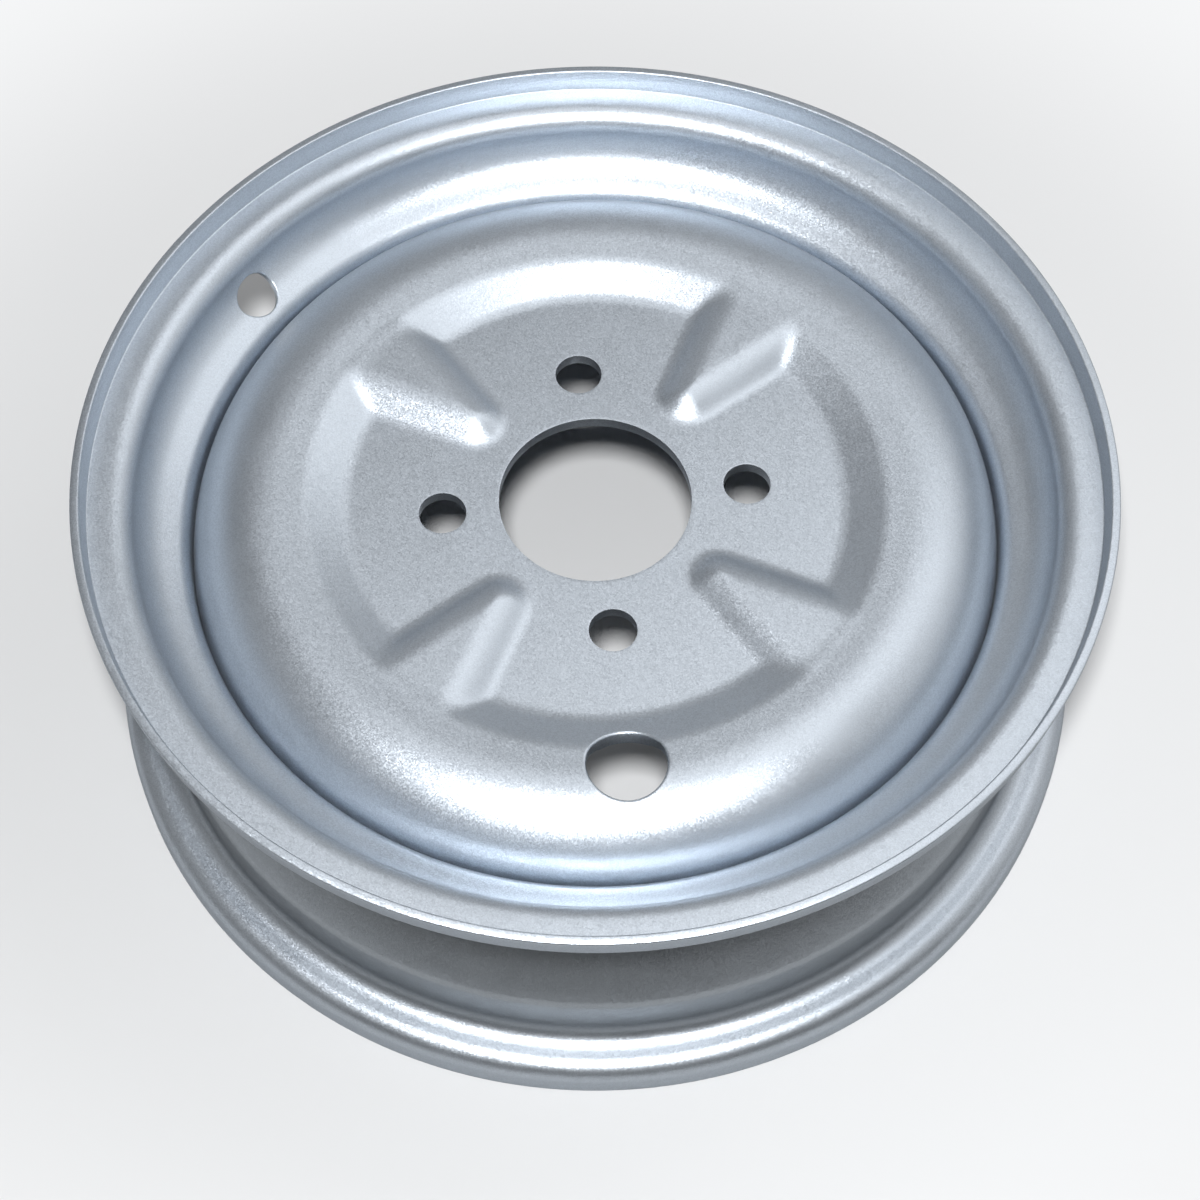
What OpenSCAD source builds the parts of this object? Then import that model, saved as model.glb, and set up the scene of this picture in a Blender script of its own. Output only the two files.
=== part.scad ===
// Pressed steel disc wheel: a rolled rim, a pressed centre disc and the welds between them.
// The wheel lies on its inboard flange: Z is the wheel's axis, the disc's face looks up.

/* [Rim] */
// Overall width of the rim, edge to edge
rim_w = 119.5; // [112:0.5:130]
// Thickness of the rim's sheet
rim_t = 3; // [2:0.1:3.6]
// Diameter of the bead seats, on the tyre's side
seat_d = 304; // [298:1:309]
// Height of each flange over the bead seats
flange_h = 15; // [12:0.5:23]
// Depth of the outboard flange, from its edge to the wall that holds the tyre
outer_flange = 11; // [10:0.1:14]
// Depth of the inboard flange, from its edge to the wall that holds the tyre
inner_flange = 13.3; // [12:0.1:16]
// Bend between the outboard flange wall and its lip, at the middle of the sheet
outer_lip_bend = 3; // [2:0.5:5]
// Bend between the inboard flange wall and its lip, at the middle of the sheet
inner_lip_bend = 5; // [2:0.5:5.5]
// Bend between the outboard flange wall and its bead seat, at the middle of the sheet
outer_root_bend = 5.5; // [4:0.5:7.5]
// Bend between the inboard flange wall and its bead seat, at the middle of the sheet
inner_root_bend = 8; // [5:0.5:8.5]
// Length of the outboard bead seat
outer_seat = 14; // [10.5:0.1:18]
// Length of the inboard bead seat
inner_seat = 21.2; // [14:0.2:26]
// Depth of the well below the bead seats
well_depth = 15.8; // [12:0.2:18]
// Fall of the outboard slope into the well, from the face plane
outer_slope = 28; // [20:1:40]
// Fall of the inboard slope into the well, from the face plane
inner_slope = 54; // [40:1:58]
// Bend where a slope leaves its seat
seat_bend = 5; // [3:0.5:6.5]
// Bend where the outboard slope meets the well
well_bend = 4.5; // [2.5:0.5:7]
// Bend where the inboard slope meets the well
foot_well_bend = 8; // [4:0.5:10]

/* [Centre disc] */
// Thickness of the disc's sheet
disc_t = 4.2; // [3:0.1:5]
// Distance from the rim's middle plane out to the mounting face
inset = 32.8; // [27:0.1:36]
// Radius of the flat hub face, where the wall to the crown starts
pad_r = 82; // [79:0.1:86]
// Height of the wall between the hub face and the crown
wall_rise = 6; // [4.5:0.1:7]
// Angle of that wall
wall_angle = 25; // [20:1:35]
// Rise of the crown outward from the wall
crown_angle = 7; // [4:1:12]
// Bend at the foot of the wall
foot_bend = 12; // [6:0.5:14]
// Bend at the top of the wall
crest_bend = 8; // [4:0.5:12]
// Bend of the shoulder between the crown and the skirt
shoulder_bend = 25; // [18:0.5:30]
// Distance from the middle of the hub face's sheet down to the skirt's end
skirt_drop = 28.6; // [27:0.2:31]
// Room between the skirt and the well
skirt_fit = 0.2; // [0.1:0.05:0.4]

/* [Ribs] */
// Radius at which a rib's nose starts
rib_nose_at = 41.4; // [39:0.2:48]
// Radius of the rib's nose, seen from the front
rib_nose = 9.3; // [8.9:0.1:11]
// Angle of each side from the rib's middle line
rib_side = 16; // [10:1:18]
// Height of the ribs where they run into the crown, as a share of the wall
rib_share = 0.95; // [0.6:0.01:0.98]
// Share of that height left at the nose
nose_share = 0.85; // [0.6:0.05:1]
// Width of the rounded wall down each side of a rib
rib_wall = 7.5; // [4:0.1:7.9]
// Turn of the ribs from halfway between the stud holes
rib_turn = 1; // [-3:0.5:3]

/* [Holes] */
// Diameter of the centre bore
bore_d = 63; // [56:0.5:70]
// Number of stud holes, with as many ribs between them
stud_n = 4; // [3:1:5]
// Diameter of the circle through the stud holes
stud_circle = 100; // [96:0.1:110]
// Diameter of the stud holes
stud_d = 15.5; // [12:0.5:18]
// Diameter of the hand hole
hand_d = 25; // [18:0.5:30]
// Radius at which the hand hole sits
hand_r = 100.8; // [97:0.1:106]
// Direction of the hand hole round the disc, from the first stud hole
hand_at = 269; // [250:1:290]
// Lean of the hand hole towards the axis
hand_lean = 10; // [0:1:14]
// Diameter of the valve hole
valve_d = 15.5; // [11:0.1:16]
// Distance of the valve hole's middle in from the bead seat
valve_in = 4.6; // [4:0.1:8]
// Direction of the valve hole round the rim, from the first stud hole
valve_at = 137.4; // [0:0.1:359.9]

/* [Welds] */
// Number of weld runs round the skirt
weld_n = 6; // [3:1:10]
// Length of each run as an angle
weld_arc = 28; // [10:1:34]
// Height of a weld's leg
weld_leg = 4; // [3:0.1:4.4]

/* [Hidden] */
$fn = 180;
paint = [0.72, 0.75, 0.78];
// Largest angle of one step along a bend
bend_step = 7.5;
// Depth to which added shapes reach into the sheet that they join
sink = 0.6;
// How far a cut runs past the sheet on each side
past = 4;

// Rim, at the middle of its sheet
lip_r = seat_d/2 + flange_h - rim_t/2;
seat_r = seat_d/2 - rim_t/2;
well_r = seat_r - well_depth;
well_inside = well_r - rim_t/2;
outer_wall_z = rim_w - outer_flange + rim_t/2;
inner_wall_z = inner_flange - rim_t/2;
outer_slope_z = rim_w - outer_flange - outer_seat;
inner_slope_z = inner_flange + inner_seat;
well_top_z = outer_slope_z - well_depth*tan(outer_slope);
well_foot_z = inner_slope_z + well_depth*tan(inner_slope);

// Disc, at the middle of its sheet
pad_z = rim_w/2 + inset + disc_t/2;
pad_front = pad_z + disc_t/2;
skirt_r = well_inside - skirt_fit - disc_t/2;
skirt_end = pad_z - skirt_drop;
crest_r = pad_r + wall_rise/tan(wall_angle);
crown_z = pad_z + wall_rise;
corner_z = crown_z + (skirt_r - crest_r)*tan(crown_angle);

// Ribs: the nose circle's middle, where the rib ends in the crown, and the hollow behind it
rib_from = rib_nose_at + rib_nose;
rib_to = crest_r + 3.7;
rib_back_inset = 1.2;
rib_rise = rib_share*wall_rise;
rib_levels = 6;
rib_foot_power = 1.4;
nose_steps = 12;

// A path is a list of corners [r, z, bend]; its bends are round and its sheet has one thickness
rim_path = [
    [lip_r, rim_w, 0],
    [lip_r, outer_wall_z, outer_lip_bend],
    [seat_r, outer_wall_z, outer_root_bend],
    [seat_r, outer_slope_z, seat_bend],
    [well_r, well_top_z, well_bend],
    [well_r, well_foot_z, foot_well_bend],
    [seat_r, inner_slope_z, seat_bend],
    [seat_r, inner_wall_z, inner_root_bend],
    [lip_r, inner_wall_z, inner_lip_bend],
    [lip_r, 0, 0]
];
disc_path = [
    [bore_d/2, pad_z, 0],
    [pad_r, pad_z, foot_bend],
    [crest_r, crown_z, crest_bend],
    [skirt_r, corner_z, shoulder_bend],
    [skirt_r, skirt_end, 0]
];

function corner(path, i) = [path[i][0], path[i][1]];
function heading(path, i) = corner(path, i + 1) - corner(path, i);
function unit(v) = v/norm(v);
function left(v) = [-v[1], v[0]];
function turn(a, b) = atan2(cross(a, b), a*b);
function spun(v, a) = [v[0]*cos(a) - v[1]*sin(a), v[0]*sin(a) + v[1]*cos(a)];

// One bend of a path, moved sideways to the left by side
function bend_points(path, i, side) =
    let (u = unit(heading(path, i - 1)))
    let (a = turn(u, heading(path, i)))
    let (way = sign(a), bend = path[i][2])
    let (start = corner(path, i) - u*bend*tan(abs(a)/2))
    let (middle = start + left(u)*way*bend)
    let (steps = ceil(abs(a)/bend_step))
    [for (k = [0:steps]) middle - left(spun(u, a*k/steps))*way*(bend - way*side)];

// One side of the sheet along the whole path
function side_points(path, side) =
    let (last = len(path) - 1)
    concat(
        [corner(path, 0) + left(unit(heading(path, 0)))*side],
        [for (i = [1:last - 1]) each bend_points(path, i, side)],
        [corner(path, last) + left(unit(heading(path, last - 1)))*side]
    );

function backwards(list) = [for (i = [len(list) - 1:-1:0]) list[i]];

// The sheet turned round the wheel's axis
module turned_sheet(path, thickness)
    rotate_extrude()
        polygon(concat(side_points(path, thickness/2), backwards(side_points(path, -thickness/2))));

// Outline of a rib at one level, seen from the front: a wedge with a round nose
function rib_outline(inset_by, reach) =
    let (nose = rib_nose - inset_by)
    let (half = (reach - rib_from)*tan(rib_side) + nose/cos(rib_side))
    let (first = 90 + rib_side, sweep = 180 - 2*rib_side)
    concat(
        [[reach, half]],
        [for (k = [0:nose_steps]) [rib_from, 0] + spun([nose, 0], first + sweep*k/nose_steps)],
        [[reach, -half]]
    );

// A rib's height falls a little from the crown to the nose
function rib_fall(u) = nose_share + (1 - nose_share)*(u - rib_nose_at)/(rib_to - rib_nose_at);

// One rib as a stack of outlines that round over from below the hub face to the rib's top
module rib(inset_by, drop, reach, foot) {
    count = nose_steps + 3;
    step = rib_wall/rib_levels;
    climb = [for (k = [1:rib_levels]) rib_rise*pow(sin(90*k/rib_levels), rib_foot_power)];
    insets = concat([-foot*step/climb[0]], [for (k = [1:rib_levels]) k*step]);
    rings = [for (k = [0:rib_levels])
        [for (p = rib_outline(inset_by + insets[k], reach))
            [p[0], p[1], pad_front - drop + (k == 0 ? -foot : climb[k - 1]*rib_fall(p[0]))]]];
    walls = [for (k = [0:rib_levels - 1], i = [0:count - 1])
        let (a = k*count + i, b = k*count + (i + 1)%count)
        each [[a, a + count, b + count], [a, b + count, b]]];
    bottom = [for (i = [0:count - 1]) i];
    top = [for (i = [count - 1:-1:0]) rib_levels*count + i];
    polyhedron([for (ring = rings) each ring], concat(walls, [bottom, top]));
}

// Copies children once for each stud hole, the first at the given angle
module each_stud(first = 0)
    for (i = [0:stud_n - 1]) rotate([0, 0, first + i*360/stud_n]) children();

module rim_barrel() {
    hole_r = seat_r - valve_in;
    hole_z = outer_slope_z - valve_in*tan(outer_slope);
    color(paint)
    difference() {
        turned_sheet(rim_path, rim_t);
        rotate([0, 0, valve_at])
            translate([hole_r, 0, hole_z])
            rotate([0, -outer_slope, 0])
            cylinder(d = valve_d, h = 2*(rim_t + past), center = true);
    }
}

module wheel_disc() {
    between = 180/stud_n + rib_turn;
    color(paint)
    difference() {
        union() {
            turned_sheet(disc_path, disc_t);
            each_stud(between) rib(0, 0, rib_to, sink);
        }
        each_stud(between) rib(rib_back_inset, disc_t, rib_to + sink, 2*sink);
        each_stud() translate([stud_circle/2, 0, pad_z])
            cylinder(d = stud_d, h = 2*(disc_t + past), center = true);
        rotate([0, 0, hand_at])
            translate([hand_r, 0, crown_z])
            rotate([0, -hand_lean, 0])
            cylinder(d = hand_d, h = 2*(disc_t + past), center = true);
    }
}

module weld_beads() {
    section = [
        [well_inside, skirt_end],
        [well_inside - weld_leg, skirt_end],
        [well_inside - weld_leg*0.4, skirt_end - weld_leg*0.4],
        [well_inside, skirt_end - weld_leg]
    ];
    color(paint)
    for (i = [0:weld_n - 1])
        rotate([0, 0, i*360/weld_n]) rotate_extrude(angle = weld_arc) polygon(section);
}

rim_barrel();
wheel_disc();
weld_beads();
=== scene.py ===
# %% [markdown]
# # A pressed steel disc wheel
# A small road wheel lies on its inboard flange, seen from above. It is three things welded
# for good: a rolled rim, a pressed centre disc and the weld runs between them. They could be
# cut from solid blocks, but sheet steel has a look of its own: one thickness all over and a
# round bend at every corner. So the rim and the disc are modelled as the sheets that they are,
# the welds are laid between them, and everything is painted silver.
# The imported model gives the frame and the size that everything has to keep.

# %% Load the frame and keep its box
import math

import bmesh
import bpy
from mathutils import Matrix, Vector
from mathutils.bvhtree import BVHTree


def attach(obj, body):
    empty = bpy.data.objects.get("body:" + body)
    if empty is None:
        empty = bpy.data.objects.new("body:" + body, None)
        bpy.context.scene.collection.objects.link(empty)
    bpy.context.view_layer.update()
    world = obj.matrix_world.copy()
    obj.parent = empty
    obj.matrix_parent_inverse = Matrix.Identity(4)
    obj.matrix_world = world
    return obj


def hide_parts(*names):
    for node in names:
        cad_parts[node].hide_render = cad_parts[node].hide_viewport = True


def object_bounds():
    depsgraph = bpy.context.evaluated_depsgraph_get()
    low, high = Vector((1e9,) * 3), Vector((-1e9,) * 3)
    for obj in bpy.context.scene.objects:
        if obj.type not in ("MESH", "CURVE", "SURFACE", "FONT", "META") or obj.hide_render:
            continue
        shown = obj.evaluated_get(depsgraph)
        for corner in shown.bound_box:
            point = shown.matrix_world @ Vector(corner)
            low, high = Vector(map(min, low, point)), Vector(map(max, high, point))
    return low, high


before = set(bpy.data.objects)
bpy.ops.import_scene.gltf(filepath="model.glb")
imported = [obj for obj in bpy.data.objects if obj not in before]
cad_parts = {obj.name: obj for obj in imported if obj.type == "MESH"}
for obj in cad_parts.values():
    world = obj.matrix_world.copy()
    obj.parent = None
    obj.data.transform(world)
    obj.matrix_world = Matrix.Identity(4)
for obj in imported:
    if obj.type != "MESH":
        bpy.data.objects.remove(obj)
cad_box = [list(corner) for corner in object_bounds()]
MM = 0.001
WHEEL_R, WHEEL_TOP = (round(cad_box[1][axis] / MM, 2) for axis in (0, 2))
print("nodes", sorted(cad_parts), "radius", WHEEL_R, "mm, height", WHEEL_TOP, "mm")

# %% [markdown]
# ## A bent sheet
# Rolled and pressed steel has the same trick everywhere: straight runs joined by round bends.
# A profile is therefore a wire with a few corner points, and a vertex bevel turns each corner
# into an arc. A bend of radius R that turns by an angle takes R times the tangent of half that
# angle from each neighbouring run, and that is the offset the bevel needs.

# %% Wire with round bends
def bent_wire(bm, corners, longest, step_angle):
    """Draws a wire through corners of (radius, height, bend) in mm, with runs no longer than longest.

    A bend gets about one step for each step_angle in degrees.
    """
    verts = [bm.verts.new((r * MM, 0.0, z * MM)) for r, z, bend in corners]
    for a, b in zip(verts, verts[1:]):
        bm.edges.new((a, b))
    runs = [b.co - a.co for a, b in zip(verts, verts[1:])]
    turns = [a.angle(b) for a, b in zip(runs, runs[1:])]
    for vert, corner, turn in zip(verts[1:-1], corners[1:-1], turns):
        bmesh.ops.bevel(bm, geom=[vert], offset=corner[2] * MM * math.tan(turn / 2),
                        offset_type="OFFSET", segments=max(3, round(math.degrees(turn) / step_angle)),
                        profile=0.5, affect="VERTICES", material=-1, clamp_overlap=False)
    for edge in [e for e in bm.edges if e.calc_length() > longest * MM]:
        cuts = math.ceil(edge.calc_length() / (longest * MM)) - 1
        bmesh.ops.subdivide_edges(bm, edges=[edge], cuts=cuts)


# %% Turn the wire round the wheel's axis
def turned(bm, steps):
    """Spins the wire into a full ring of sheet and closes its seam."""
    bmesh.ops.spin(bm, geom=bm.verts[:] + bm.edges[:], cent=(0, 0, 0), axis=(0, 0, 1),
                   angle=2 * math.pi, steps=steps, use_merge=True, use_duplicate=False)
    bmesh.ops.remove_doubles(bm, verts=bm.verts[:], dist=0.01 * MM)
    bmesh.ops.recalc_face_normals(bm, faces=bm.faces[:])


# %% [markdown]
# ## Punched holes
# A punch leaves a round edge whatever the shape of the sheet around it. A boolean would cut one
# too, but it leaves thin faces that shade badly. Here a window is cut in the mesh and a ring of
# points is bridged to it from a little above, because two loops in one plane can be joined the
# wrong way round. The ring is then dropped onto the old surface along the punch's direction,
# and extruding it inward twice gives the hole's edge.

# %% Open a round hole in a sheet
PUNCH_REACH, RING_LIFT = 14.0, 4.0
WINDOW_GAP, WINDOW_REACH = 0.35, 8.0


def punch(bm, centre, axis, radius, points, margin):
    """Cuts a hole of this radius in mm, with a neat band of mesh as wide as margin round it."""
    centre, axis = Vector(centre) * MM, Vector(axis).normalized()
    before = BVHTree.FromBMesh(bm)

    def away(p):
        d = p - centre
        along = d.dot(axis)
        return (d - axis * along).length if abs(along) < PUNCH_REACH * MM else math.inf

    def drop(verts):
        for v in verts:
            v.co = before.ray_cast(v.co + axis * PUNCH_REACH * MM, -axis)[0]

    widest = (radius + margin) * MM
    window = [f for f in bm.faces if min(away(v.co) for v in f.verts) < widest + WINDOW_GAP * MM]
    bmesh.ops.delete(bm, geom=window, context="FACES")
    edge_loop = [e for e in bm.edges
                 if e.is_boundary and max(away(v.co) for v in e.verts) < widest + WINDOW_REACH * MM]
    turn = axis.to_track_quat("Z", "Y").to_matrix().to_4x4()
    above = Matrix.Translation(centre + axis * RING_LIFT * MM) @ turn
    ring = bmesh.ops.create_circle(bm, cap_ends=False, segments=points, radius=widest, matrix=above)["verts"]
    edges = [e for e in bm.edges if e.is_wire]
    bmesh.ops.bridge_loops(bm, edges=edges + edge_loop)
    drop(ring)
    for share in (0.5, 1.0):
        inner = bmesh.ops.extrude_edge_only(bm, edges=edges)["geom"]
        edges = [e for e in inner if isinstance(e, bmesh.types.BMEdge) and e.is_boundary]
        moved = [v for v in inner if isinstance(v, bmesh.types.BMVert)]
        for v in moved:
            flat = (v.co - centre) - axis * (v.co - centre).dot(axis)
            v.co = centre + flat.normalized() * (radius + margin * (1 - share)) * MM
        drop(moved)
    bmesh.ops.recalc_face_normals(bm, faces=bm.faces[:])


# %% [markdown]
# ## From sheet to solid
# The Solidify modifier gives the sheet its thickness, which also makes the walls of the holes.
# The result is taken back into a bmesh so that the cut edges can be rounded: no real edge is
# perfectly sharp, and the narrow round catches the light. A Bevel modifier would need a weight on
# each edge to round some more than others, while the bmesh operator takes what a test chooses.

# %% Round the cut edges
CUT_EDGE_ANGLE, CUT_EDGE_STEPS, CUT_SOFTNESS = 1.0, 4, 0.6
SMOOTH_ANGLE = math.radians(50)


def any_edge(point):
    """Chooses every cut edge that is still sharp."""
    return True


def round_edges(bm, size, chosen):
    """Rounds by size in mm the sharp edges whose middle point, in mm, is chosen."""
    edges = [e for e in bm.edges if len(e.link_faces) == 2 and e.calc_face_angle() > CUT_EDGE_ANGLE
             and chosen((e.verts[0].co + e.verts[1].co) / (2 * MM))]
    bmesh.ops.bevel(bm, geom=edges, offset=size * MM, offset_type="OFFSET", segments=CUT_EDGE_STEPS,
                    profile=0.5, affect="EDGES", clamp_overlap=True, material=-1)
    print(len(edges), "edges rounded by", size, "mm")


# %% Finish a bmesh as a piece
def finished(bm, mesh):
    """Puts the bmesh in the mesh, smooth but for its sharp edges."""
    open_edges = sum(not e.is_manifold for e in bm.edges)
    bm.to_mesh(mesh)
    bm.free()
    mesh.shade_smooth()
    mesh.set_sharp_from_angle(angle=SMOOTH_ANGLE)
    print(mesh.name, len(mesh.polygons), "faces,", open_edges, "open edges")


def put_in_scene(name, data):
    """Puts a mesh, a lamp or a camera in the scene as an object at the origin."""
    made = bpy.data.objects.new(name, data)
    bpy.context.scene.collection.objects.link(made)
    return made


# %% Thicken a sheet
def solid_piece(name, bm, thickness, offset, softness):
    """Thickens a sheet by mm; softness lists roundings in mm, each with its test for an edge."""
    mesh = bpy.data.meshes.new(name)
    bm.to_mesh(mesh)
    bm.free()
    piece = put_in_scene(name, mesh)
    shell = piece.modifiers.new("sheet", "SOLIDIFY")
    shell.thickness, shell.offset = thickness * MM, offset
    shell.use_even_offset, shell.use_quality_normals = True, True
    solid = bpy.data.meshes.new_from_object(piece.evaluated_get(bpy.context.evaluated_depsgraph_get()))
    piece.modifiers.clear()
    bm = bmesh.new()
    bm.from_mesh(solid)
    bpy.data.meshes.remove(solid)
    for size, chosen in softness:
        round_edges(bm, size, chosen)
    finished(bm, mesh)
    return piece


# %% [markdown]
# ## The rolled rim
# The rim is one strip of 3 mm steel, rolled into a ring: an upright lip, a flange wall, a bead
# seat, a slope down into the drop well, and the same again on the inboard side with a longer
# seat. A closed profile could be spun too, but a wire along the middle of the sheet keeps one
# thickness everywhere. It runs from the outboard edge to the inboard edge. The upper lip leans out
# a little, so small margins keep it within the wheel's box.

# %% Sizes of the rim
RIM_SHEET, LIP_MARGIN, TOP_MARGIN, LIP_LEAN = 3.0, 0.06, 0.15, 1.3
LIP_R = WHEEL_R - RIM_SHEET / 2 - LIP_MARGIN
SEAT_R, WELL_R = 150.5, 134.7
RIM_TOP, RIM_WALL_TOP, RIM_WALL_FOOT = WHEEL_TOP - TOP_MARGIN, 110.0, 11.8
SLOPE_OUT, SLOPE_IN = math.radians(24), math.radians(54)
SEAT_END_OUT, SEAT_END_IN = 94.5, 34.5
WELL_TOP = SEAT_END_OUT - (SEAT_R - WELL_R) * math.tan(SLOPE_OUT)
WELL_FOOT = SEAT_END_IN + (SEAT_R - WELL_R) * math.tan(SLOPE_IN)
rim_corners = [
    (LIP_R, RIM_TOP, 0), (LIP_R - LIP_LEAN, RIM_WALL_TOP, 2), (SEAT_R, RIM_WALL_TOP, 5.5),
    (SEAT_R, SEAT_END_OUT, 15), (WELL_R, WELL_TOP, 4.5), (WELL_R, WELL_FOOT, 8),
    (SEAT_R, SEAT_END_IN, 5), (SEAT_R, RIM_WALL_FOOT, 8), (LIP_R, RIM_WALL_FOOT, 5), (LIP_R, 0, 0),
]
print("lip at", round(LIP_R, 2), "mm, well from", round(WELL_FOOT, 1), "to", round(WELL_TOP, 1), "mm")

# %% [markdown]
# The valve hole sits high on the slope, where the sheet already bends up to the seat. A punch
# square to the slope would meet that bend askew and leave a hole like a drop, so it
# leans further towards the axis.

# %% Roll the rim and punch its valve hole
VALVE_R, VALVE_IN, VALVE_AT, VALVE_LEAN = 7.75, 4.6, math.radians(137.4), math.radians(44)
bm = bmesh.new()
bent_wire(bm, rim_corners, longest=4.0, step_angle=9)
turned(bm, 240)
valve_r, valve_z = SEAT_R - VALVE_IN, SEAT_END_OUT - VALVE_IN * math.tan(SLOPE_OUT)
inward = -math.sin(VALVE_LEAN)
punch(bm, (valve_r * math.cos(VALVE_AT), valve_r * math.sin(VALVE_AT), valve_z),
      (inward * math.cos(VALVE_AT), inward * math.sin(VALVE_AT), math.cos(VALVE_LEAN)),
      VALVE_R, points=48, margin=1.6)
rim = solid_piece("rolled_rim", bm, RIM_SHEET, 0.0, [(CUT_SOFTNESS, any_edge)])

# %% [markdown]
# ## The pressed disc
# The disc starts as a flat blank. The press draws its edge down into a skirt with a generous
# shoulder, sinks the hub face, and leaves four ribs standing between the nut pads. Its front
# surface is spun from a wire first, with many short steps, because the ribs are pressed
# into the same mesh afterwards.

# %% Sizes of the disc
DISC_SHEET, DISC_INSET, SKIRT_FIT, SKIRT_DROP = 4.2, 32.8, 0.2, 30.7
BORE_R, WALL_FOOT_R, CREST_R, CREST_RISE, SHOULDER_RISE = 31.5, 81.53, 94.28, 5.94, 10.7
WELL_INSIDE = WELL_R - RIM_SHEET / 2
SKIRT_R = WELL_INSIDE - SKIRT_FIT
FACE_Z = WHEEL_TOP / 2 + DISC_INSET + DISC_SHEET
SKIRT_END = FACE_Z - SKIRT_DROP
disc_corners = [
    (BORE_R, FACE_Z, 0), (WALL_FOOT_R, FACE_Z, 9.9), (CREST_R, FACE_Z + CREST_RISE, 10.1),
    (SKIRT_R, FACE_Z + SHOULDER_RISE, 27.1), (SKIRT_R, SKIRT_END, 0),
]
print("hub face at", round(FACE_Z, 2), "mm, skirt down to", round(SKIRT_END, 2), "mm")

# %% [markdown]
# ## The ribs
# Each rib is a long mound with a round nose towards the bore, sides that spread and a top that
# rises gently into the crown. Sculpting four alike by hand is hard, so a rib is written as a
# height over the hub face: a slope up from its outline, held under a top. Where two heights cross
# there would be a knife edge, so they are joined with a round, as the radius on a press tool
# leaves one.

# %% The height of a rib
RIB_TIP, RIB_NOSE, RIB_SIDE, RIB_FLANK = 41.4, 9.3, math.radians(16), 0.8
RIB_RISE, RIB_NOSE_SHARE, RIB_END, RIB_DROOP = 5.75, 0.88, 90.0, 0.03
RIB_FROM = RIB_TIP + RIB_NOSE
RIB_FOOT_ROUND, RIB_TOP_ROUND = 2.0, 4.2


def joined(a, b, soft):
    """The higher of two heights, with a round fillet where they cross."""
    blend = max(0.0, soft - abs(a - b)) / soft
    return max(a, b) + blend * blend * soft / 4


def rib_height(u, v):
    """Height over the hub face at u along a rib and v across it; it falls below zero outside the rib."""
    du = u - RIB_FROM
    along = du * math.cos(RIB_SIDE) + abs(v) * math.sin(RIB_SIDE)
    across = abs(v) * math.cos(RIB_SIDE) - du * math.sin(RIB_SIDE)
    flank = RIB_FLANK * (RIB_NOSE - (across if along > 0 else math.hypot(du, v)))
    fall = RIB_NOSE_SHARE + (1 - RIB_NOSE_SHARE) * (u - RIB_TIP) / (RIB_END - RIB_TIP)
    top = RIB_RISE * fall - RIB_DROOP * max(0.0, u - RIB_END) ** 2
    return -joined(-flank, -top, RIB_TOP_ROUND)


print("rib height at nose and end", [round(rib_height(u, 0.0), 2) for u in (RIB_FROM, RIB_END)], "mm")

# %% Press the ribs
RIB_AT, RIB_COUNT, RIB_REACH = math.radians(46), 4, 120.0
RIB_SPACING = 2 * math.pi / RIB_COUNT


def front_up(bm):
    """Turns the sheet so that its normals point to the front."""
    if sum(f.normal.z for f in bm.faces) < 0:
        bmesh.ops.reverse_faces(bm, faces=bm.faces[:])


bm = bmesh.new()
bent_wire(bm, disc_corners, longest=1.3, step_angle=4)
turned(bm, 384)
front_up(bm)
for v in bm.verts:
    x, y, height = v.co.x / MM, v.co.y / MM, v.co.z / MM - FACE_Z
    reach = math.hypot(x, y)
    if reach > RIB_REACH:
        continue
    turn = (math.atan2(y, x) - RIB_AT + RIB_SPACING / 2) % RIB_SPACING - RIB_SPACING / 2
    rib = rib_height(reach * math.cos(turn), reach * math.sin(turn))
    v.co.z = (FACE_Z + joined(height, rib, RIB_FOOT_ROUND)) * MM
print("pressed surface", len(bm.verts), "points")

# %% [markdown]
# The four stud holes go straight through the hub face. The hand hole breaks through the wall and
# the crown, and its front edge shows a wider bright round than the others. It is rounded first,
# because the general rounding takes every edge that is still sharp.

# %% Punch the holes and thicken the disc
STUD_COUNT, STUD_CIRCLE_R, STUD_R = 4, 50.0, 7.75
HAND_R, HAND_Z, HAND_AT, HAND_LEAN = 100.8, 101.0, math.radians(269), math.radians(10)
HAND_HOLE_R, HAND_SOFTNESS, HAND_BAND, HAND_LOWEST = 12.5, 1.5, 16.0, -2.0
for k in range(STUD_COUNT):
    a = k * 2 * math.pi / STUD_COUNT
    punch(bm, (STUD_CIRCLE_R * math.cos(a), STUD_CIRCLE_R * math.sin(a), FACE_Z), (0, 0, 1),
          STUD_R, points=56, margin=1.6)
hand_middle = Vector((HAND_R * math.cos(HAND_AT), HAND_R * math.sin(HAND_AT), HAND_Z))
inward = -math.sin(HAND_LEAN)
hand_axis = Vector((inward * math.cos(HAND_AT), inward * math.sin(HAND_AT), math.cos(HAND_LEAN)))
punch(bm, hand_middle, hand_axis, HAND_HOLE_R, points=80, margin=1.8)


def hand_front(point):
    """Chooses the hand hole's front edge, and the two stretches of its back edge that lie as high."""
    from_hole = point - hand_middle
    return from_hole.length < HAND_BAND and from_hole.dot(hand_axis) > HAND_LOWEST


front_up(bm)
disc = solid_piece("pressed_disc", bm, DISC_SHEET, -1.0,
                   [(HAND_SOFTNESS, hand_front), (CUT_SOFTNESS, any_edge)])

# %% [markdown]
# ## The weld runs
# Under the skirt, short fillet welds hold the disc in the well. A row of beads would do from
# afar, but a weld is one run laid in small steps, so its face has ripples: a five-sided section
# is spun through the run's angle, its size is changed in small waves, and both ends are drawn in.

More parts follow.
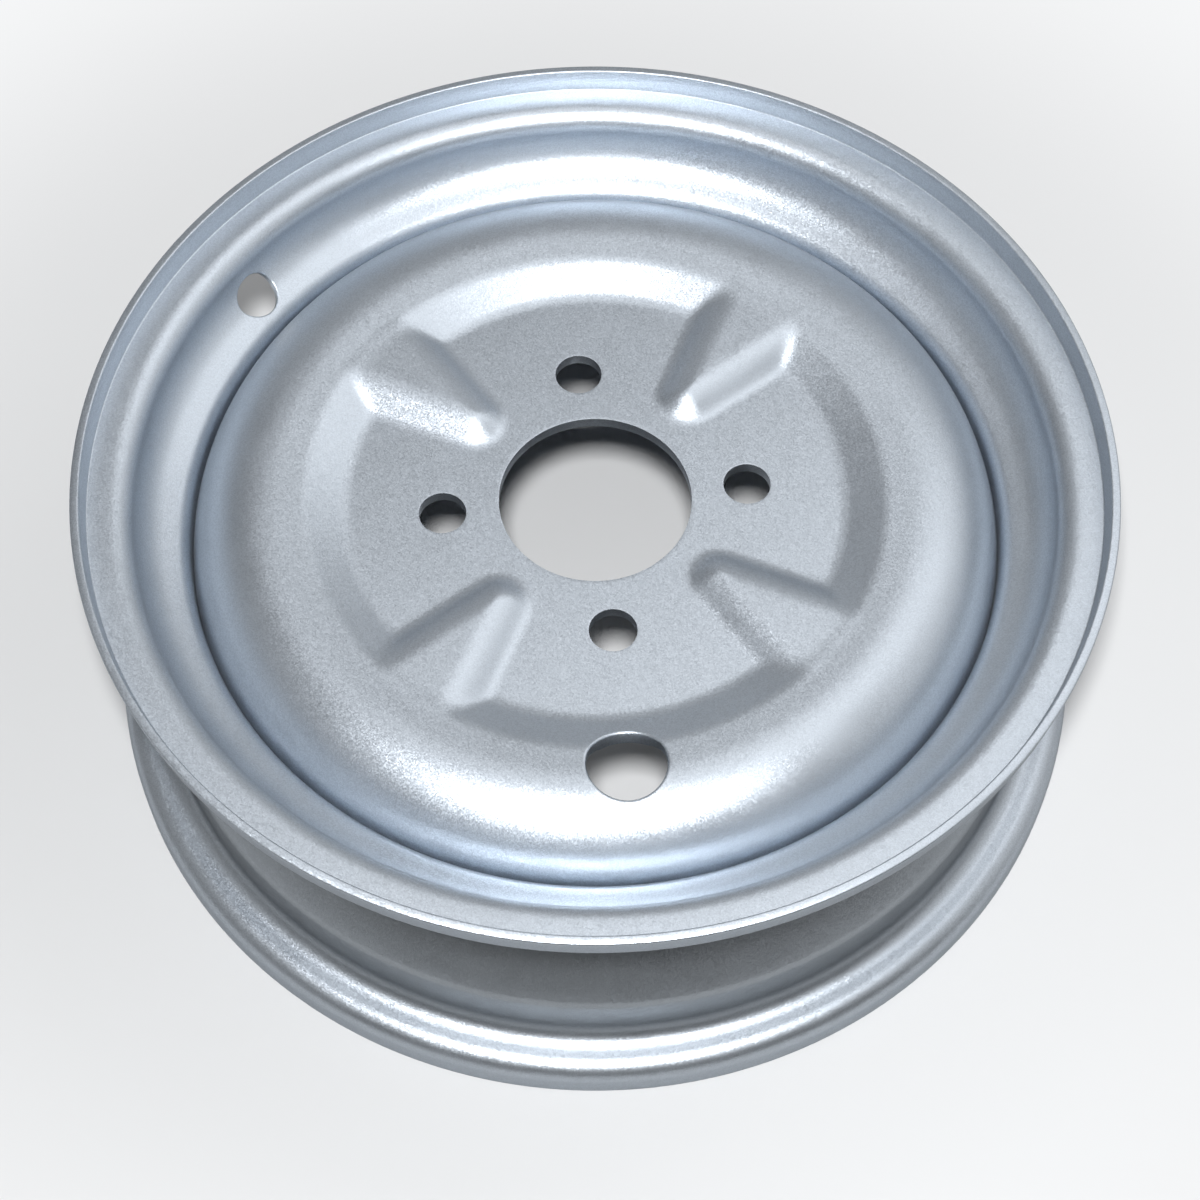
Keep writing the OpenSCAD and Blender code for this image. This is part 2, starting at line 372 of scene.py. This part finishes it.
# %% Sizes of a weld
WELD_LEG, WELD_COUNT, WELD_ANGLE, WELD_STEPS = 4.0, 6, math.radians(28), 64
WELD_RIPPLES, WELD_RIPPLE_DEPTH, WELD_END_DRAW, WELD_END_POWER = 26, 0.07, 0.6, 12
BULGE_NEAR, BULGE_FAR = 0.4 * WELD_LEG, 0.72 * WELD_LEG
weld_section = [
    (WELL_INSIDE, SKIRT_END), (WELL_INSIDE - WELD_LEG, SKIRT_END),
    (WELL_INSIDE - BULGE_FAR, SKIRT_END - BULGE_NEAR), (WELL_INSIDE - BULGE_NEAR, SKIRT_END - BULGE_FAR),
    (WELL_INSIDE, SKIRT_END - WELD_LEG),
]


def weld_size(share):
    """Size of the section at a share of the run, between its first end 0 and its last end 1."""
    ends = 1 - abs(2 * share - 1) ** WELD_END_POWER * WELD_END_DRAW
    wave = abs(math.sin(share * math.pi * WELD_RIPPLES))
    return ends * (1 - WELD_RIPPLE_DEPTH + WELD_RIPPLE_DEPTH * wave)


print("weld section at an end", round(weld_size(0.0), 2), "and in the middle", round(weld_size(0.5), 2))

# %% Lay the welds
bm = bmesh.new()
for k in range(WELD_COUNT):
    start = k * 2 * math.pi / WELD_COUNT
    known = set(bm.verts)
    ring = [bm.verts.new((r * MM * math.cos(start), r * MM * math.sin(start), z * MM))
            for r, z in weld_section]
    first = [bm.edges.new((a, b)) for a, b in zip(ring, ring[1:] + ring[:1])]
    end = bmesh.ops.spin(bm, geom=ring + first, cent=(0, 0, 0), axis=(0, 0, 1), angle=WELD_ANGLE,
                         steps=WELD_STEPS, use_merge=False, use_duplicate=False)["geom_last"]
    caps = first + [e for e in end if isinstance(e, bmesh.types.BMEdge)]
    bmesh.ops.holes_fill(bm, edges=caps, sides=0)
    for v in set(bm.verts) - known:
        angle = (math.atan2(v.co.y, v.co.x) - start) % (2 * math.pi)
        size = weld_size(min(1.0, angle / WELD_ANGLE) if angle < math.pi else 0.0)
        reach = math.hypot(v.co.x, v.co.y)
        wanted = WELL_INSIDE * MM - (WELL_INSIDE * MM - reach) * size
        v.co.x, v.co.y = v.co.x * wanted / reach, v.co.y * wanted / reach
        v.co.z = SKIRT_END * MM - (SKIRT_END * MM - v.co.z) * size
bmesh.ops.recalc_face_normals(bm, faces=bm.faces[:])
weld_mesh = bpy.data.meshes.new("weld_runs")
finished(bm, weld_mesh)
welds = put_in_scene("weld_runs", weld_mesh)

# %% [markdown]
# ## Silver wheel enamel
# Wheel enamel is a silver paint full of tiny aluminium flakes that lie almost flat. From afar it
# looks like soft grey metal; close up, a flake that happens to face the light sparkles. A plain
# grey metal would miss that grain. The flakes are Voronoi cells, each of which tilts the surface a
# little in its own direction. Real flakes are far finer than a pixel, so they are drawn about a third
# of a millimetre wide, as coarse as they need to be to show.

# %% Helpers for colours and nodes
def linear(hex_colour):
    """Turns an sRGB hex colour to the linear values that a socket takes."""
    parts = [int(hex_colour[i:i + 2], 16) / 255 for i in (1, 3, 5)]
    return tuple(c / 12.92 if c <= 0.04045 else ((c + 0.055) / 1.055) ** 2.4 for c in parts) + (1.0,)


def add(tree, kind, inputs=None, **settings):
    """Adds a node with its settings; an input is a value or the socket that feeds it."""
    made = tree.nodes.new(kind)
    for name, value in settings.items():
        setattr(made, name, value)
    for name, value in (inputs or {}).items():
        if isinstance(value, bpy.types.NodeSocket):
            tree.links.new(value, made.inputs[name])
        else:
            made.inputs[name].default_value = value
    return made


def new_material(name):
    """Starts an empty material and gives its node tree too."""
    material = bpy.data.materials.new(name)
    material.use_nodes = True
    material.node_tree.nodes.clear()
    return material, material.node_tree


# %% Flakes in the paint
FLAKE, FLAKE_TILT = 0.36, 0.12


def flake_layer(tree, where, normal):
    """Gives the flakes' silver, a little lighter or darker each, and the surface that they tilt."""
    cells = add(tree, "ShaderNodeTexVoronoi", {"Vector": where, "Scale": 1 / (FLAKE * MM)}).outputs["Color"]
    tilt = add(tree, "ShaderNodeVectorMath", {0: cells, 1: (0.5, 0.5, 0.5)}, operation="SUBTRACT")
    lean = add(tree, "ShaderNodeVectorMath", {0: tilt.outputs[0], "Scale": FLAKE_TILT}, operation="SCALE")
    tipped = add(tree, "ShaderNodeVectorMath", {0: normal, 1: lean.outputs[0]}, operation="ADD")
    facing = add(tree, "ShaderNodeVectorMath", {0: tipped.outputs[0]}, operation="NORMALIZE")
    shade = add(tree, "ShaderNodeSeparateColor", {"Color": cells})
    silver = add(tree, "ShaderNodeMix", {"Factor": shade.outputs["Red"], "A": linear("#C4CCD5"),
                                         "B": linear("#D6DEE7")}, data_type="RGBA")
    return silver.outputs["Result"], facing.outputs[0]


# %% [markdown]
# The channel between the flanges lies in shade and mirrors dark surroundings, so painted shade
# darkens it: a dark grey is mixed into the silver there. Part of that may be what the paint mirrors
# there; the rest is taken as thin paint on the side that a tyre hides. It could be a material of its
# own with a hard border, but shade changes gradually: the share of painted shade follows how far a
# face looks outward and how deep in the well it lies.

# %% Painted shade in the channel
# Radii in mm where the painted shade starts on the rim, where it is strongest and where it is weakest.
TYRE_SIDE_FROM, SHADE_MOST_AT, SHADE_LEAST_AT = 134.5, 138.0, 168.0


def channel_shade(tree, where, normal):
    """Gives the share of painted shade: most in the well, less towards the flanges, none on the disc."""
    level = add(tree, "ShaderNodeVectorMath", {0: where, 1: (1, 1, 0)}, operation="MULTIPLY").outputs[0]
    radius = add(tree, "ShaderNodeVectorMath", {0: level}, operation="LENGTH").outputs["Value"]
    outward = add(tree, "ShaderNodeVectorMath", {0: level}, operation="NORMALIZE").outputs[0]
    facing_out = add(tree, "ShaderNodeVectorMath", {0: outward, 1: normal}, operation="DOT_PRODUCT")
    outward_share = add(tree, "ShaderNodeMapRange", {"Value": facing_out.outputs["Value"], "From Min": 0.25,
                                            "From Max": 0.95})
    depth_share = add(tree, "ShaderNodeMapRange", {"Value": radius, "From Min": SHADE_MOST_AT * MM,
                                            "From Max": SHADE_LEAST_AT * MM, "To Min": 0.85, "To Max": 0.3})
    on_rim = add(tree, "ShaderNodeMath", {0: radius, 1: TYRE_SIDE_FROM * MM}, operation="GREATER_THAN")
    shown = add(tree, "ShaderNodeMath", {0: on_rim.outputs[0], 1: depth_share.outputs["Result"]},
                operation="MULTIPLY")
    shade_share = add(tree, "ShaderNodeMath", {0: outward_share.outputs["Result"], 1: shown.outputs[0]},
               operation="MULTIPLY")
    return shade_share.outputs[0]


# %% [markdown]
# The paint itself is a metal with a medium roughness, which blurs the lamps to soft gradients. A
# cloudy pattern about 18 mm wide varies the roughness slightly, as on a sprayed coat. Bare metal
# turns white at a grazing angle. This paint doesn't, so a grey Specular Tint keeps it darker there.

# %% Silver enamel
CLOUD = 18.0


def silver_enamel(name):
    """Sprayed silver enamel: soft grey metal to the eye, with a fine sparkle."""
    material, tree = new_material(name)
    where = add(tree, "ShaderNodeTexCoord").outputs["Object"]
    normal = add(tree, "ShaderNodeNewGeometry").outputs["Normal"]
    silver, facing = flake_layer(tree, where, normal)
    # Painted shade: dark grey is mixed into the silver in the shaded channel between the flanges.
    coat = add(tree, "ShaderNodeMix", {"Factor": channel_shade(tree, where, normal), "A": silver,
                                       "B": linear("#6E6F6E")}, data_type="RGBA")
    cloud = add(tree, "ShaderNodeTexNoise", {"Vector": where, "Scale": 1 / (CLOUD * MM), "Detail": 4.0})
    rough = add(tree, "ShaderNodeMapRange", {"Value": cloud.outputs["Fac"], "From Min": 0.3, "From Max": 0.7,
                                             "To Min": 0.43, "To Max": 0.47})
    paint = add(tree, "ShaderNodeBsdfPrincipled", {
        "Base Color": coat.outputs["Result"], "Metallic": 1.0, "Specular Tint": linear("#A0A0A0"),
        "Roughness": rough.outputs["Result"], "Normal": facing})
    add(tree, "ShaderNodeOutputMaterial", {"Surface": paint.outputs["BSDF"]})
    return material


# %% Paint the pieces and tie them to the frame
enamel = silver_enamel("silver_wheel_enamel")
for piece, node in ((rim, "rim_barrel"), (disc, "wheel_disc"), (welds, "weld_beads")):
    piece.data.materials.clear()
    piece.data.materials.append(enamel)
    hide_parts(node)
    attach(piece, "root")
print("painted", enamel.name, "with", len(enamel.node_tree.nodes), "nodes")

# %% [markdown]
# ## The floor
# The wheel lies on pale paper that runs out of sight on every side. More light could turn the
# paper white, but it would bleach the wheel too. So close to the wheel it is ordinary paper that
# keeps the shadow, and further out it fades to its own pale glow, for the camera and for what the
# metal mirrors.

# %% Pale paper
FLOOR_HALF, FADE_FROM, FADE_TO = 40.0, 0.2, 0.42
paper, tree = new_material("pale_studio_paper")
sheet = add(tree, "ShaderNodeBsdfPrincipled", {"Base Color": linear("#DFE0E1"), "Roughness": 0.9,
                                               "Specular IOR Level": 0.1})
where = add(tree, "ShaderNodeTexCoord").outputs["Object"]
away = add(tree, "ShaderNodeVectorMath", {0: where}, operation="LENGTH")
fade = add(tree, "ShaderNodeMapRange", {"Value": away.outputs["Value"], "From Min": FADE_FROM,
                                        "From Max": FADE_TO}, interpolation_type="SMOOTHSTEP")
path = add(tree, "ShaderNodeLightPath").outputs
direct = add(tree, "ShaderNodeMath", {0: path["Is Camera Ray"], 1: path["Is Glossy Ray"]},
             operation="MAXIMUM")
seen = add(tree, "ShaderNodeMath", {0: direct.outputs[0], 1: path["Is Transmission Ray"]},
           operation="MAXIMUM")
share = add(tree, "ShaderNodeMath", {0: seen.outputs[0], 1: fade.outputs["Result"]}, operation="MULTIPLY")
glow = add(tree, "ShaderNodeEmission", {"Color": linear("#F6F7F8"), "Strength": 1.0})
both = add(tree, "ShaderNodeMixShader", {0: share.outputs[0], 1: sheet.outputs["BSDF"],
                                         2: glow.outputs["Emission"]})
add(tree, "ShaderNodeOutputMaterial", {"Surface": both.outputs["Shader"]})
print(paper.name, "fades from", FADE_FROM, "to", FADE_TO, "m")


# %% Lay the floor
def staged_panel(name, half, matrix, material):
    """Adds a flat square to the studio, not to the wheel."""
    mesh = bpy.data.meshes.new(name)
    bm = bmesh.new()
    bmesh.ops.create_grid(bm, x_segments=1, y_segments=1, size=half, matrix=matrix)
    bm.to_mesh(mesh)
    bm.free()
    mesh.materials.append(material)
    panel = put_in_scene(name, mesh)
    print(name, [round(side, 2) for side in panel.dimensions], "m")
    return panel


floor = staged_panel("studio_floor", FLOOR_HALF, Matrix.Identity(4), paper)

# %% [markdown]
# ## The lamps
# Silver paint shows its surroundings, so each lamp is placed where some surface should find it.
# One big lamp would flatten the pressing. The key is a small softbox just above the camera, which
# whitens what leans towards it and shines through the holes onto the paper. Two panels overhead
# end close to what the flat hub face mirrors, so it takes a soft grey from them. Weaker panels on
# the right, on the left and behind the wheel give the rim its gradients.

# %% Hang the lamps
world = bpy.data.worlds.new("studio_room")
bpy.context.scene.world = world
world.use_nodes = True
world.node_tree.nodes.clear()
room = add(world.node_tree, "ShaderNodeBackground", {"Color": linear("#FFFFFF"), "Strength": 0.05})
add(world.node_tree, "ShaderNodeOutputWorld", {"Surface": room.outputs["Background"]})


def softbox(name, place, aim, wide, deep, strength):
    """An evenly bright panel in metres that faces a point; a strength of 1 mirrors as plain white."""
    lamp = bpy.data.lights.new(name, "AREA")
    lamp.shape, lamp.size, lamp.size_y = "RECTANGLE", wide, deep
    lamp.energy = strength * math.pi * wide * deep
    box = put_in_scene(name, lamp)
    facing = (Vector(place) - Vector(aim)).to_track_quat("Z", "Y")
    box.matrix_world = Matrix.Translation(place) @ facing.to_matrix().to_4x4()
    print(name, round(lamp.energy, 1), "W")


softbox("overhead_left", (-0.1, 0.36, 1.0), (-0.1, 0.36, 0.0), 0.6, 0.4, 1.1)
softbox("overhead_right", (0.6, 0.36, 1.0), (0.6, 0.36, 0.0), 0.8, 0.66, 1.5)
softbox("key_softbox", (-0.066, -0.469, 0.977), (0.0, 0.0, 0.05), 0.08, 0.08, 530.0)
softbox("right_panel", (1.8, 0.16, 0.98), (0.0, 0.0, 0.1), 2.6, 1.5, 0.75)
softbox("left_panel", (-1.77, 0.0, 1.04), (0.0, 0.0, 0.1), 2.4, 1.4, 0.25)
softbox("far_panel", (0.0, 2.04, 0.92), (0.0, 0.0, 0.1), 3.6, 1.6, 0.3)

# %% [markdown]
# Photographers put black card where metal should look dark. This one stands upright in front of
# the wheel, unseen by the camera, so that the channel between the flanges mirrors it and not
# the bright paper.

# %% Stand the black card
CARD_PLACE, CARD_WIDE, CARD_HIGH = (0, -0.52, 0.15), 2.0, 0.3
card_paper, tree = new_material("black_card_paper")
matt = add(tree, "ShaderNodeBsdfPrincipled", {"Base Color": linear("#101010"), "Roughness": 0.9})
add(tree, "ShaderNodeOutputMaterial", {"Surface": matt.outputs["BSDF"]})
upright = Matrix.Diagonal((CARD_WIDE, 1, CARD_HIGH, 1)) @ Matrix.Rotation(math.pi / 2, 4, "X")
card = staged_panel("black_card", 0.5, Matrix.Translation(CARD_PLACE) @ upright, card_paper)
card.visible_camera = False

# %% [markdown]
# ## The camera
# The camera stands where the photograph was taken, found from the ellipses of the
# flanges, the bore and the stud holes: less than a metre away, looking down at 59 degrees. A lens
# guessed by eye would match one ellipse and miss the others.

# %% Camera
camera = put_in_scene("camera", bpy.data.cameras.new("camera"))
camera.data.sensor_width, camera.data.lens = 36.0, 77.58
CAMERA_PLACE = Vector((-51.85, -457.64, 804.34))
heading, pitch, roll = math.radians(6.664), math.radians(59.19), math.radians(0.13)
camera.matrix_world = (Matrix.Translation(CAMERA_PLACE * MM)
                       @ Matrix.Rotation(-heading, 4, "Z") @ Matrix.Rotation(math.pi / 2 - pitch, 4, "X")
                       @ Matrix.Rotation(roll, 4, "Z"))
bpy.context.scene.camera = camera
bpy.context.scene.view_settings.view_transform = "Standard"
print("camera", round((CAMERA_PLACE - Vector((0, 0, FACE_Z))).length), "mm from the hub face")
